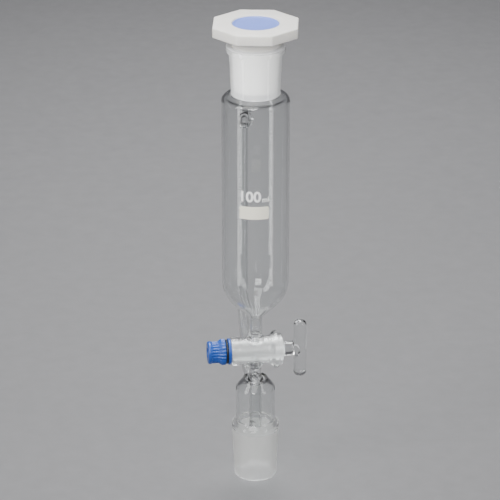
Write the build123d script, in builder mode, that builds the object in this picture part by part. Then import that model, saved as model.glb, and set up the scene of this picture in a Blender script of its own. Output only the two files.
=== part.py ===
from build123d import *
import os
from math import atan2, cos, degrees, pi, radians, sin, tan

# Pressure-equalising dropping funnel: a cylindrical bowl over a glass stopcock, with a 29/32
# socket on top and a 29/32 cone below. Millimetres, +Z up. The origin is the centre of the
# cone's end face. The stopcock lies along X with its handle at +X, and the arm is near +Y.

# ---- standard taper joints, one in ten on the diameter ----
joint_large_diameter = 29.2
joint_length = 32.0
joint_taper = 0.1
joint_wall = 1.8
ground_clearance = 0.05         # between a ground plug and its socket, on the radius

# ---- lower cone and drip chamber ----
cone_bead_step = 0.25           # the bead stands out this far from the ground cone
cone_bead_height = 2.5
chamber_radius = 12.3
chamber_wall = 1.6
chamber_foot_height = 3.0       # the flare between the bead and the straight wall
chamber_foot_lip = 1.0          # upright stretch of the flare where it meets the bead
chamber_foot_fillet = 1.5
chamber_straight = 22.5
chamber_shoulder_height = 5.5
chamber_shoulder_fillet = 3.0
ring_seal_radius = 8.2
ring_seal_height = 1.4
ring_seal_dish = 1.2            # how far the seal dips around the drip tube
ring_seal_thickness = 2.0

# ---- drip tube and drain neck ----
drip_tube_radius = 3.8
drip_tube_wall = 1.2
drip_tip_z = 31.0               # lowest point of the bevelled tip
drip_tip_bevel = 35.0
drip_tube_length = 9.6          # in the open, from the ring seal's rim to the barrel's side
drain_neck_radius = 4.15
drain_neck_wall = 1.3
drain_neck_length = 11.0        # in the open, from the barrel's side to the bowl's foot

# ---- stopcock barrel ----
plug_large_diameter = 14.5
barrel_wall = 1.25              # at the bore's wide end
barrel_narrow_reach = 15.5      # from the bowl's axis to each end of the barrel
barrel_wide_reach = 16.5
barrel_port_radius = 2.0
barrel_rim_step = 0.4
barrel_rim_length = 4.5
barrel_collar_offset = 8.6
barrel_collar_width = 1.6
barrel_collar_step = 0.7
flange_offset = 11.0            # from the bowl's axis to the near side of the flange
flange_width = 3.0
flange_step = 3.3
flange_end_step = 1.4
rim_step = 0.6                  # axial length of the small steps along the barrel

# ---- key ----
key_port_radius = 1.25
plug_end_gap = 0.5              # the ground plug stops this far inside each end of the barrel
handle_stem_radius = 4.4
handle_stem_fillet = 1.5
handle_stand = 11.5             # from the barrel's wide end to the handle bar's axis
handle_bar_radius = 4.0
handle_bar_length = 38.0
handle_bar_end_fillet = 3.3

# ---- retaining washer, o-ring and nut ----
thread_radius = 2.9
thread_clearance = 0.1
thread_end_recess = 1.2         # the threaded end stops inside the nut's mouth
retainer_gap = 0.05
washer_inset = 0.3              # the washer's edge below the barrel's side
washer_width = 1.8
o_ring_inset = 0.6              # the o-ring's edge below the washer's
o_ring_cord = 1.6
nut_length = 11.0
nut_skirt_width = 2.6
nut_flare_length = 1.8
nut_waist_radius = 6.8
nut_rim_radius = 7.1
nut_rim_width = 2.0
nut_rib_count = 22
nut_rib_height = 0.45
nut_rib_width = 0.95
nut_edge_fillet = 0.8
nut_rim_fillet = 0.4

# ---- bowl ----
bowl_radius = 20.55
bowl_wall = 1.7
bowl_straight = 128.0           # between its lower and upper knees
bowl_base_angle = 45.0
bowl_base_fillet = 21.0
bowl_shoulder_rise = 4.0        # from the upper knee to the socket
bowl_shoulder_slope = 1.9       # rise of the shoulder between its knee and the neck
bowl_shoulder_fillet = 3.6
bowl_neck_fillet = 1.4
bowl_foot_height = 3.5          # straight stretch of the bowl's own drain neck
bowl_foot_fillet = 4.0

# ---- socket ----
socket_foot_run = 3.4           # the ground zone runs on this far inside the bowl's shoulder
socket_wall_top = 1.45
socket_lip_step = 3.25          # from the joint's large radius to the lip's outside
socket_lip_height = 4.5
socket_lip_fillet = 1.9
socket_lip_under_fillet = 1.2

# ---- equalising arm ----
arm_radius = 3.4
arm_wall = 1.2
arm_standoff = 0.55             # between the arm and the bowl's side
arm_port_drop = 21.9            # upper port below the bowl's upper knee
arm_lean_drop = 13.0            # the arm starts to lean in this far below the lower knee
arm_foot_length = 5.6           # straight reach of the foot out of the chamber's shoulder
arm_top_bend = 4.0
arm_lean_bend = 40.0
arm_foot_bend = 10.0
arm_flare = 1.5                 # extra radius where the arm is sealed on
arm_flare_length = 1.8
arm_turn = 12.0                 # the arm stands this far round from +Y towards -X

# ---- stopper ----
stopper_head_flats = 50.5
stopper_head_height = 6.5
stopper_head_fillet = 0.9
stopper_head_turn = -10.0
stopper_neck_height = 7.0       # between the socket's mouth and the head
stopper_plug_length = 28.0
stopper_wall = 1.6
stopper_foot_fillet = 1.2
disc_radius = 14.0
disc_thickness = 2.0
disc_recess = 0.5
disc_fillet = 0.3
disc_clearance = 0.05

edge_polish = 0.5               # fire-polished edges

# ---- places that follow from the sizes ----
joint_large_radius = joint_large_diameter / 2
joint_small_radius = joint_large_radius - joint_length * joint_taper / 2
cone_bead_radius = joint_large_radius + cone_bead_step
socket_lip_radius = joint_large_radius + socket_lip_step
barrel_radius = plug_large_diameter / 2 + barrel_wall
barrel_rim_radius = barrel_radius + barrel_rim_step
barrel_collar_radius = barrel_radius + barrel_collar_step
flange_radius = barrel_radius + flange_step
flange_end_radius = barrel_radius + flange_end_step
handle_reach = barrel_wide_reach + handle_stand
washer_radius = barrel_radius - washer_inset
o_ring_outer_radius = washer_radius - o_ring_inset
nut_skirt_radius = washer_radius
chamber_foot_z = joint_length + cone_bead_height
chamber_wall_z = chamber_foot_z + chamber_foot_height
chamber_knee_z = chamber_wall_z + chamber_straight
ring_seal_z = chamber_knee_z + chamber_shoulder_height
seal_rim_z = ring_seal_z + ring_seal_height
stopcock_z = seal_rim_z + drip_tube_length + barrel_radius
bowl_foot_z = stopcock_z + barrel_radius + drain_neck_length
bowl_apex_z = bowl_foot_z + bowl_foot_height
bowl_lower_knee_z = bowl_apex_z + (bowl_radius - drain_neck_radius) * tan(radians(bowl_base_angle))
bowl_upper_knee_z = bowl_lower_knee_z + bowl_straight
socket_base_z = bowl_upper_knee_z + bowl_shoulder_rise
socket_length = joint_length - socket_foot_run
socket_mouth_z = socket_base_z + socket_length
stopper_head_z = socket_mouth_z + stopper_neck_height
stopper_top_z = stopper_head_z + stopper_head_height
neck_radius = joint_large_radius - socket_length * joint_taper / 2 + bowl_wall

washer_x = -barrel_narrow_reach - retainer_gap
o_ring_x = washer_x - washer_width - o_ring_cord / 2
nut_near_x = o_ring_x - o_ring_cord / 2 - retainer_gap
nut_far_x = nut_near_x - nut_length
retainer_bore = thread_radius + thread_clearance

arm_port_z = bowl_upper_knee_z - arm_port_drop
arm_y = bowl_radius + arm_standoff + arm_radius
lean_z = bowl_lower_knee_z - arm_lean_drop
shoulder_angle = atan2(chamber_shoulder_height, chamber_radius - ring_seal_radius)
seat_y = (chamber_radius + ring_seal_radius) / 2
seat_z = chamber_knee_z + chamber_shoulder_height / 2
foot_y = seat_y + arm_foot_length * sin(shoulder_angle)
foot_z = seat_z + arm_foot_length * cos(shoulder_angle)
port_plane = Plane(origin=(0, bowl_radius - bowl_wall, arm_port_z), z_dir=(0, 1, 0))
seat_plane = Plane(
    origin=(0, seat_y, seat_z),
    z_dir=(0, sin(shoulder_angle), cos(shoulder_angle)),
)

stopcock_plane = Plane(origin=(0, 0, stopcock_z), x_dir=(1, 0, 0), z_dir=(0, -1, 0))
stopcock_axis = Axis((0, 0, stopcock_z), (1, 0, 0))


def turned_section(corners, bends, plane=Plane.XZ):
    """Closed section of a turned piece, with one fillet radius for each corner."""
    with BuildSketch(plane) as section:
        with BuildLine():
            FilletPolyline(*corners, radius=bends, close=True)
        make_face()
    return section.sketch


def wall_section(outline, bends, wall):
    """Section of an even glass wall whose outer face runs down the outline of (radius, height)."""
    corners = [Vector(*corner) for corner in outline]
    runs = [(end - start).normalized() for start, end in zip(corners, corners[1:])]
    inward = [run.rotate(Axis.Z, -90) for run in runs]
    inner_corners = [corners[0] + inward[0] * wall]
    inner_bends = []
    for index, bend in enumerate(bends):
        share = 1 + inward[index].dot(inward[index + 1])
        inner_corners.append(corners[index + 1] + (inward[index] + inward[index + 1]) * (wall / share))
        turns_outward = runs[index].cross(runs[index + 1]).Z > 0
        inner_bends.append(bend + wall if turns_outward else max(bend - wall, 0))
    inner_corners.append(corners[-1] + inward[-1] * wall)
    loop = [(point.X, point.Y) for point in corners + inner_corners[::-1]]
    return turned_section(loop, [0, *bends, 0, 0, *inner_bends[::-1], 0])


def taper_radius(depth):
    """Radius of the standard taper at a depth below its large end."""
    return joint_large_radius - depth * joint_taper / 2


def plug_bore_radius(x):
    """Radius of the stopcock's bore, which narrows away from the handle."""
    return plug_large_diameter / 2 - (barrel_wide_reach - x) * joint_taper / 2


def save(piece, name, turn=0):
    """Label a finished piece and write it as its own STEP file, turned about the bowl's axis."""
    placed = piece.part.rotate(Axis.Z, turn)
    placed.label = name
    export_step(placed, f"parts/{name}.step")


# ---- lower cone: the ground joint and the bead above it ----
cone_bore_top = joint_large_radius - joint_wall
cone_corners = [
    (joint_small_radius - joint_wall, 0),
    (joint_small_radius, 0),
    (joint_large_radius, joint_length),
    (cone_bead_radius, joint_length),
    (cone_bead_radius, chamber_foot_z),
    (cone_bore_top, chamber_foot_z),
    (cone_bore_top, joint_length),
]
with BuildPart() as lower_cone:
    revolve(turned_section(cone_corners, [edge_polish, edge_polish, 0, 0, 0, 0, 0]), axis=Axis.Z)

# ---- drip chamber: straight wall, sloped shoulder and dished ring seal ----
chamber_outline = [
    (ring_seal_radius, seal_rim_z),
    (ring_seal_radius, ring_seal_z),
    (chamber_radius, chamber_knee_z),
    (chamber_radius, chamber_wall_z),
    (cone_bead_radius, chamber_foot_z + chamber_foot_lip),
    (cone_bead_radius, chamber_foot_z),
]
chamber_bends = [0, chamber_shoulder_fillet, chamber_foot_fillet, 0]
seal_top_z = seal_rim_z - ring_seal_dish
seal_corners = [
    (drip_tube_radius, seal_top_z),
    (ring_seal_radius - chamber_wall, seal_rim_z),
    (ring_seal_radius, seal_rim_z),
    (ring_seal_radius, ring_seal_z),
    (drip_tube_radius, seal_top_z - ring_seal_thickness),
]
with BuildPart() as drip_chamber:
    revolve(wall_section(chamber_outline, chamber_bends, chamber_wall), axis=Axis.Z)
    revolve(turned_section(seal_corners, [0, edge_polish, edge_polish, 0, 0]), axis=Axis.Z)
    with BuildSketch(seat_plane):
        Circle(arm_radius - arm_wall)
    extrude(amount=chamber_wall * 2, both=True, mode=Mode.SUBTRACT)

# ---- stopcock barrel: tapered bore, collar, flared wide end, a port above and a port below ----
rim_end_x = barrel_rim_length - barrel_narrow_reach
collar_near_x = barrel_collar_offset - barrel_collar_width / 2
collar_far_x = barrel_collar_offset + barrel_collar_width / 2
barrel_corners = [
    (-barrel_narrow_reach, plug_bore_radius(-barrel_narrow_reach)),
    (-barrel_narrow_reach, barrel_rim_radius),
    (rim_end_x, barrel_rim_radius),
    (rim_end_x + rim_step, barrel_radius),
    (collar_near_x - rim_step, barrel_radius),
    (collar_near_x, barrel_collar_radius),
    (collar_far_x, barrel_collar_radius),
    (flange_offset, flange_radius),
    (flange_offset + flange_width, flange_radius),
    (barrel_wide_reach, flange_end_radius),
    (barrel_wide_reach, plug_bore_radius(barrel_wide_reach)),
]
barrel_bends = [0, edge_polish, 0, 0, 0, 0, 0, edge_polish, edge_polish, edge_polish, 0]
with BuildPart() as stopcock_barrel:
    revolve(turned_section(barrel_corners, barrel_bends, stopcock_plane), axis=stopcock_axis)
    with BuildSketch(Plane.XY.offset(stopcock_z)):
        Circle(barrel_port_radius)
    extrude(amount=flange_radius, both=True, mode=Mode.SUBTRACT)

# A plain cylinder the size of the barrel, which the tubes that meet it are cut back to.
with BuildPart() as barrel_envelope:
    with BuildSketch(Plane.YZ.offset(-barrel_narrow_reach)):
        with Locations((0, stopcock_z)):
            Circle(barrel_radius)
    extrude(amount=barrel_narrow_reach + barrel_wide_reach)

# ---- drip tube: from the barrel through the ring seal to a bevelled tip ----
tip_bevel_plane = Plane(
    origin=(drip_tube_radius, 0, drip_tip_z),
    z_dir=(sin(radians(drip_tip_bevel)), 0, cos(radians(drip_tip_bevel))),
)
with BuildPart() as drip_tube:
    with BuildSketch(Plane.XY.offset(drip_tip_z)):
        Circle(drip_tube_radius)
        Circle(drip_tube_radius - drip_tube_wall, mode=Mode.SUBTRACT)
    extrude(amount=stopcock_z - drip_tip_z)
    add(barrel_envelope.part, mode=Mode.SUBTRACT)
    split(bisect_by=tip_bevel_plane, keep=Keep.TOP)

# ---- drain neck between the bowl's foot and the stopcock ----
with BuildPart() as drain_neck:
    with BuildSketch(Plane.XY.offset(stopcock_z)):
        Circle(drain_neck_radius)
        Circle(drain_neck_radius - drain_neck_wall, mode=Mode.SUBTRACT)
    extrude(amount=bowl_foot_z - stopcock_z)
    add(barrel_envelope.part, mode=Mode.SUBTRACT)

# ---- bowl: neck, shoulder, straight cylinder, rounded knee and conical foot ----
bowl_outline = [
    (neck_radius, socket_base_z),
    (neck_radius, bowl_upper_knee_z + bowl_shoulder_slope),
    (bowl_radius, bowl_upper_knee_z),
    (bowl_radius, bowl_lower_knee_z),
    (drain_neck_radius, bowl_apex_z),
    (drain_neck_radius, bowl_foot_z),
]
bowl_bends = [bowl_neck_fillet, bowl_shoulder_fillet, bowl_base_fillet, bowl_foot_fillet]
with BuildPart() as bowl:
    revolve(wall_section(bowl_outline, bowl_bends, bowl_wall), axis=Axis.Z)
    with BuildSketch(Plane.XZ.offset(-bowl_radius)):
        with Locations((0, arm_port_z)):
            Circle(arm_radius - arm_wall)
    extrude(amount=bowl_radius / 2, mode=Mode.SUBTRACT)

# ---- top socket: ground bore with a beaded lip ----
lip_z = socket_mouth_z - socket_lip_height
socket_corners = [
    (taper_radius(socket_length), socket_base_z),
    (neck_radius, socket_base_z),
    (joint_large_radius + socket_wall_top, lip_z),
    (socket_lip_radius, lip_z),
    (socket_lip_radius, socket_mouth_z),
    (taper_radius(0), socket_mouth_z),
]
socket_bends = [0, 0, 0, socket_lip_under_fillet, socket_lip_fillet, edge_polish]
with BuildPart() as top_socket:
    revolve(turned_section(socket_corners, socket_bends), axis=Axis.Z)

# ---- equalising arm: out of the bowl near its top, down behind it, into the chamber's shoulder ----
with BuildLine() as arm_path:
    FilletPolyline(
        (0, bowl_radius - bowl_wall, arm_port_z),
        (0, arm_y, arm_port_z),
        (0, arm_y, lean_z),
        (0, foot_y, foot_z),
        (0, seat_y, seat_z),
        radius=[arm_top_bend, arm_lean_bend, arm_foot_bend],
    )

# Solids of the bowl's and the chamber's outer faces, which the arm is cut back to.
with BuildPart() as bowl_envelope:
    with BuildSketch(Plane.XY.offset(bowl_lower_knee_z)):
        Circle(bowl_radius)
    extrude(amount=bowl_straight)
with BuildPart() as chamber_envelope:
    core_corners = [(0, seal_rim_z), *chamber_outline[:4], (0, chamber_wall_z)]
    revolve(turned_section(core_corners, [0, edge_polish, 0, chamber_shoulder_fillet, 0, 0]), axis=Axis.Z)

flare_taper = degrees(atan2(arm_flare, arm_flare_length + bowl_wall))
with BuildPart() as equalising_arm:
    with BuildSketch(port_plane):
        Circle(arm_radius)
    sweep(path=arm_path.line)
    with BuildSketch(port_plane, seat_plane.offset(-bowl_wall)):
        Circle(arm_radius + arm_flare)
    extrude(amount=arm_flare_length + bowl_wall, taper=flare_taper)
    with BuildSketch(port_plane):
        Circle(arm_radius - arm_wall)
    sweep(path=arm_path.line, mode=Mode.SUBTRACT)
    add(bowl_envelope.part, mode=Mode.SUBTRACT)
    add(chamber_envelope.part, mode=Mode.SUBTRACT)

# ---- stopcock key: ground plug with its port, stem towards the handle, thread for the nut ----
plug_near_x = plug_end_gap - barrel_narrow_reach
plug_far_x = barrel_wide_reach - plug_end_gap
thread_end_x = nut_far_x + thread_end_recess
key_corners = [
    (thread_end_x, 0),
    (thread_end_x, thread_radius),
    (plug_near_x, thread_radius),
    (plug_near_x, plug_bore_radius(plug_near_x) - ground_clearance),
    (plug_far_x, plug_bore_radius(plug_far_x) - ground_clearance),
    (plug_far_x, handle_stem_radius),
    (handle_reach, handle_stem_radius),
    (handle_reach, 0),
]
key_bends = [0, edge_polish, 0, edge_polish, edge_polish, handle_stem_fillet, 0, 0]
with BuildPart() as key_handle:
    with BuildSketch(Plane.XY.offset(stopcock_z - handle_bar_length / 2)):
        with Locations((handle_reach, 0)):
            Circle(handle_bar_radius)
    extrude(amount=handle_bar_length)
    fillet(key_handle.edges().filter_by(GeomType.CIRCLE), radius=handle_bar_end_fillet)
with BuildPart() as key_plug:
    revolve(turned_section(key_corners, key_bends, stopcock_plane), axis=stopcock_axis)
    with BuildSketch(Plane.XY.offset(stopcock_z)):
        Circle(key_port_radius)
    extrude(amount=barrel_radius, both=True, mode=Mode.SUBTRACT)
    add(key_handle.part, mode=Mode.SUBTRACT)

# ---- retaining washer, o-ring and nut on the key's threaded end ----
with BuildPart() as retaining_washer:
    with BuildSketch(Plane.YZ.offset(washer_x - washer_width)):
        with Locations((0, stopcock_z)):
            Circle(washer_radius)
            Circle(retainer_bore, mode=Mode.SUBTRACT)
    extrude(amount=washer_width)
    fillet(retaining_washer.edges().group_by(SortBy.LENGTH)[-1], radius=edge_polish)

with BuildPart() as retaining_o_ring:
    with BuildSketch(stopcock_plane):
        with Locations((o_ring_x, o_ring_outer_radius - o_ring_cord / 2)):
            Circle(o_ring_cord / 2)
    revolve(axis=stopcock_axis)

nut_waist_x = nut_far_x + nut_rim_width
nut_skirt_x = nut_near_x - nut_skirt_width
nut_flare_x = nut_skirt_x - nut_flare_length
nut_core_corners = [
    (nut_near_x, retainer_bore),
    (nut_near_x, nut_skirt_radius - nut_rib_height),
    (nut_skirt_x, nut_skirt_radius - nut_rib_height),
    (nut_flare_x, nut_waist_radius - nut_rib_height),
    (nut_waist_x, nut_waist_radius - nut_rib_height),
    (nut_waist_x, nut_rim_radius),
    (nut_far_x, nut_rim_radius),
    (nut_far_x, retainer_bore),
]
nut_core_bends = [0, nut_edge_fillet, nut_edge_fillet, 0, 0, nut_rim_fillet, nut_edge_fillet, 0]
nut_rib_corners = [
    (nut_near_x - nut_edge_fillet, nut_waist_radius - 2 * nut_rib_height),
    (nut_near_x - nut_edge_fillet, nut_skirt_radius),
    (nut_skirt_x, nut_skirt_radius),
    (nut_flare_x, nut_waist_radius),
    (nut_waist_x, nut_waist_radius),
    (nut_waist_x, nut_waist_radius - 2 * nut_rib_height),
]
with BuildPart() as retaining_nut:
    revolve(turned_section(nut_core_corners, nut_core_bends, stopcock_plane), axis=stopcock_axis)
    for rib in range(nut_rib_count):
        rib_angle = 2 * pi * rib / nut_rib_count
        rib_plane = Plane(
            origin=(0, 0, stopcock_z),
            x_dir=(1, 0, 0),
            z_dir=(0, -cos(rib_angle), sin(rib_angle)),
        )
        with BuildSketch(rib_plane):
            add(turned_section(nut_rib_corners, [0, 0, nut_edge_fillet, 0, 0, 0], Plane.XY))
        extrude(amount=nut_rib_width / 2, both=True)

# ---- stopper: octagonal head over a hollow ground plug, closed by a pressed-in disc ----
plug_foot_z = socket_mouth_z - stopper_plug_length
plug_head_radius = taper_radius(-stopper_neck_height) - ground_clearance
plug_foot_radius = taper_radius(stopper_plug_length) - ground_clearance
disc_top_z = stopper_top_z - disc_recess
disc_seat_z = disc_top_z - disc_thickness
hollow_corners = [
    (0, plug_foot_z + stopper_wall),
    (plug_foot_radius - stopper_wall, plug_foot_z + stopper_wall),
    (plug_head_radius - stopper_wall, stopper_head_z),
    (plug_head_radius - stopper_wall, disc_seat_z),
    (0, disc_seat_z),
]
plug_corners = [
    (0, plug_foot_z),
    (plug_foot_radius, plug_foot_z),
    (plug_head_radius, stopper_head_z),
    (0, stopper_head_z),
]
with BuildPart() as stopper_body:
    with BuildSketch(Plane.XY.offset(stopper_head_z)):
        RegularPolygon(
            radius=stopper_head_flats / 2,
            side_count=8,
            major_radius=False,
            rotation=stopper_head_turn + 180 / 8,
        )
    extrude(amount=stopper_head_height)
    fillet(stopper_body.edges().filter_by(Plane.XY), radius=stopper_head_fillet)
    revolve(turned_section(plug_corners, [0, stopper_foot_fillet, 0, 0]), axis=Axis.Z)
    revolve(turned_section(hollow_corners, [0, 0, 0, 0, 0]), axis=Axis.Z, mode=Mode.SUBTRACT)
    with BuildSketch(Plane.XY.offset(disc_seat_z)):
        Circle(disc_radius + disc_clearance)
    extrude(amount=disc_thickness + disc_recess, mode=Mode.SUBTRACT)

with BuildPart() as stopper_disc:
    with BuildSketch(Plane.XY.offset(disc_seat_z)):
        Circle(disc_radius)
    extrude(amount=disc_thickness)
    fillet(stopper_disc.edges().sort_by(Axis.Z)[-1], radius=disc_fillet)

# ---- finished pieces: the arm and the two pieces it opens into are drawn at +Y, then turned ----
os.makedirs("parts", exist_ok=True)
save(lower_cone, "lower_cone")
save(drip_chamber, "drip_chamber", arm_turn)
save(drip_tube, "drip_tube")
save(stopcock_barrel, "stopcock_barrel")
save(drain_neck, "drain_neck")
save(bowl, "bowl", arm_turn)
save(top_socket, "top_socket")
save(equalising_arm, "equalising_arm", arm_turn)
save(key_plug, "key_plug")
save(key_handle, "key_handle")
save(retaining_washer, "retaining_washer")
save(retaining_o_ring, "retaining_o_ring")
save(retaining_nut, "retaining_nut")
save(stopper_body, "stopper_body")
save(stopper_disc, "stopper_disc")
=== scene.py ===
from math import atan2, ceil, cos, hypot, pi, radians, sin, tan

import bmesh
import bpy
from bpy.props import FloatProperty, FloatVectorProperty, IntProperty, PointerProperty, StringProperty
from mathutils import Matrix, Vector


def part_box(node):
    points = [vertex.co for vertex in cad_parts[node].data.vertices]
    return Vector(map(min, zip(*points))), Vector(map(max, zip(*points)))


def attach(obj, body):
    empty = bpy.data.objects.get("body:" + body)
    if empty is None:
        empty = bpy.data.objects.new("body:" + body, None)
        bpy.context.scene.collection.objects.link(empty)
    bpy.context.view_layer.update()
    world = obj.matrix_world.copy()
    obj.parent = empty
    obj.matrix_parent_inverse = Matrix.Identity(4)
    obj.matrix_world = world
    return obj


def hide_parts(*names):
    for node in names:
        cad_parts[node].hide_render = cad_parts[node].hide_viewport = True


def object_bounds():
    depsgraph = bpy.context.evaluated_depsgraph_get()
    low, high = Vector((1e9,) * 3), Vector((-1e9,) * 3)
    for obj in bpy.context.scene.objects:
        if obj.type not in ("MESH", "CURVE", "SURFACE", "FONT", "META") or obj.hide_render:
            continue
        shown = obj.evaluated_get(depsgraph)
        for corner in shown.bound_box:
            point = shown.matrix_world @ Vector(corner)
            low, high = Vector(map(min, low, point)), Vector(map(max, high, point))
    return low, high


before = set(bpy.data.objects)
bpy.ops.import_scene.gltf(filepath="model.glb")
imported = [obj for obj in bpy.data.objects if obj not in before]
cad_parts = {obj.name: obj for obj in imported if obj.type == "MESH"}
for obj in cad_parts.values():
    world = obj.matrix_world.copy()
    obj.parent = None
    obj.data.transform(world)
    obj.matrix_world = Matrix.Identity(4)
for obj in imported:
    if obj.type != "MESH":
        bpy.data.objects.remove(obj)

bl_info = {
    "name": "Dropping Funnel Maker",
    "version": (1, 0, 0),
    "blender": (4, 5, 0),
    "location": "3D View > Sidebar > Funnel",
    "description": "Builds the glass, stopcock, retainer, stopper and print of a dropping funnel",
    "category": "Object",
}

# ---- places read from the frame, in metres ----
CAD_LOW, CAD_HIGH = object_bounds()
CONE_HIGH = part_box("lower_cone")[1]
CHAMBER_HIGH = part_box("drip_chamber")[1]
DRIP_LOW, DRIP_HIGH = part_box("drip_tube")
BARREL_LOW, BARREL_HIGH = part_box("stopcock_barrel")
NECK_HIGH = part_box("drain_neck")[1]
BOWL_LOW, BOWL_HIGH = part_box("bowl")
SOCKET_LOW, SOCKET_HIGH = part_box("top_socket")
PLUG_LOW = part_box("key_plug")[0]
HANDLE_LOW, HANDLE_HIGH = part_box("key_handle")
WASHER_LOW, WASHER_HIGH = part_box("retaining_washer")
RING_LOW, RING_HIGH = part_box("retaining_o_ring")
NUT_LOW, NUT_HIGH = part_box("retaining_nut")
STOPPER_LOW, STOPPER_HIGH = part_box("stopper_body")
DISC_LOW, DISC_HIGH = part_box("stopper_disc")
STOPCOCK_Z = (BARREL_LOW.z + BARREL_HIGH.z) / 2
BOWL_RADIUS = BOWL_HIGH.x
MM = 0.001

# ---- how finely shapes are cut, and how near points count as one ----
TURN_STEPS = 144
WELD_STEPS = 72
ROD_STEPS = 48
THREAD_STEPS = 48
RING_STEPS = 24
STEPS_PER_RIB = 12
SAME_POINT = 1e-7
SAME_SKIN_POINT = 2e-6

# corners of a square, in order round it
SQUARE = ((-1, -1), (1, -1), (1, 1), (-1, 1))


def length(name, default_mm, note):
    """A length property given in millimetres and kept in metres."""
    return FloatProperty(name=name, description=note, default=default_mm * MM, unit="LENGTH", precision=5)


def colour(name, default, note):
    """A linear colour property."""
    return FloatVectorProperty(
        name=name, description=note, default=default, subtype="COLOR", size=3, min=0, max=1
    )


def angle(name, default_degrees, note):
    """An angle property given in degrees and kept in radians."""
    return FloatProperty(name=name, description=note, default=radians(default_degrees), unit="ROTATION")


def plain_number(name, default, note):
    """A plain number property."""
    return FloatProperty(name=name, description=note, default=default)


def power(name, watts):
    """The power of a softbox."""
    return FloatProperty(name=name, description="Power in watts", default=watts, unit="POWER")


class GlassSizes(bpy.types.PropertyGroup):
    """Sizes of the glass body that the frame's boxes don't give."""

    joint_taper: plain_number("Joint taper", 0.05, "Radius lost per unit of length")
    joint_large: length("Joint large radius", 14.6, "Radius of both ground joints at the large end")
    joint_length: length("Joint length", 32, "Length of both ground joints")
    joint_wall: length("Joint wall", 1.8, "Wall of the lower cone")
    bowl_wall: length("Bowl wall", 1.7, "Wall of the bowl")
    chamber_radius: length("Chamber radius", 12.3, "Outer radius of the drip chamber")
    chamber_wall: length("Chamber wall", 1.6, "Wall of the drip chamber")
    chamber_shoulder: length("Chamber shoulder", 5.5, "Height of the chamber's sloped shoulder")
    chamber_foot: length("Chamber foot", 3, "Height of the flare above the bead")
    seal_radius: length("Ring seal radius", 8.2, "Radius of the ring seal's rim")
    seal_height: length("Ring seal height", 1.4, "Height of the ring seal's rim")
    seal_dish: length("Ring seal dish", 1.2, "Dip of the ring seal around the drip tube")
    tube_wall: length("Tube wall", 1.2, "Wall of the drip tube and of the arm")
    tip_bevel: angle("Drip tip bevel", 35, "Angle of the drip tube's cut tip")
    upper_knee: length("Shoulder rise", 4, "From the bowl's upper knee to the socket")
    shoulder_slope: length("Shoulder slope", 1.9, "Rise of the shoulder between knee and neck")
    shoulder_bend: length("Shoulder bend", 3.6, "Rounding of the bowl's shoulder")
    base_bend: length("Base bend", 21, "Rounding of the bowl's lower knee")
    foot_bend: length("Foot bend", 4, "Rounding where the bowl runs into its neck")
    foot_height: length("Foot height", 3.5, "Straight part of the bowl's own neck")
    lip_height: length("Lip height", 4.5, "Height of the socket's beaded lip")
    lip_wall: length("Lip wall", 1.45, "Wall of the socket just below the lip")
    polish: length("Polish", 0.5, "Rounding of fire-polished edges")
    arm_radius: length("Arm radius", 3.4, "Outer radius of the equalising arm")
    arm_standoff: length("Arm standoff", 0.55, "Between the arm and the bowl's side")
    arm_turn: angle("Arm turn", 12, "Turn of the arm about the bowl's axis, from +Y towards -X")
    arm_port_drop: length("Arm port drop", 21.9, "Arm's upper port below the bowl's knee")
    arm_lean_drop: length("Arm lean drop", 13, "Where the arm starts to lean in")
    arm_foot: length("Arm foot", 5.6, "Reach of the arm's foot out of the shoulder")
    arm_top_bend: length("Arm top bend", 4, "Bend at the arm's upper end")
    arm_lean_bend: length("Arm lean bend", 40, "Bend where the arm leans in")
    arm_foot_bend: length("Arm foot bend", 10, "Bend at the arm's foot")
    seal_thickness: length("Ring seal thickness", 2, "Thickness of the ring seal")
    neck_wall: length("Neck wall", 1.3, "Wall of the drain neck")
    neck_weld: length("Neck weld", 2.4, "Spread of the glass where the tubes meet the barrel")
    port_weld: length("Port weld", 2.6, "Spread of the glass at the arm's upper end")
    seat_weld: length("Seat weld", 1.8, "Spread of the glass at the arm's foot")


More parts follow.
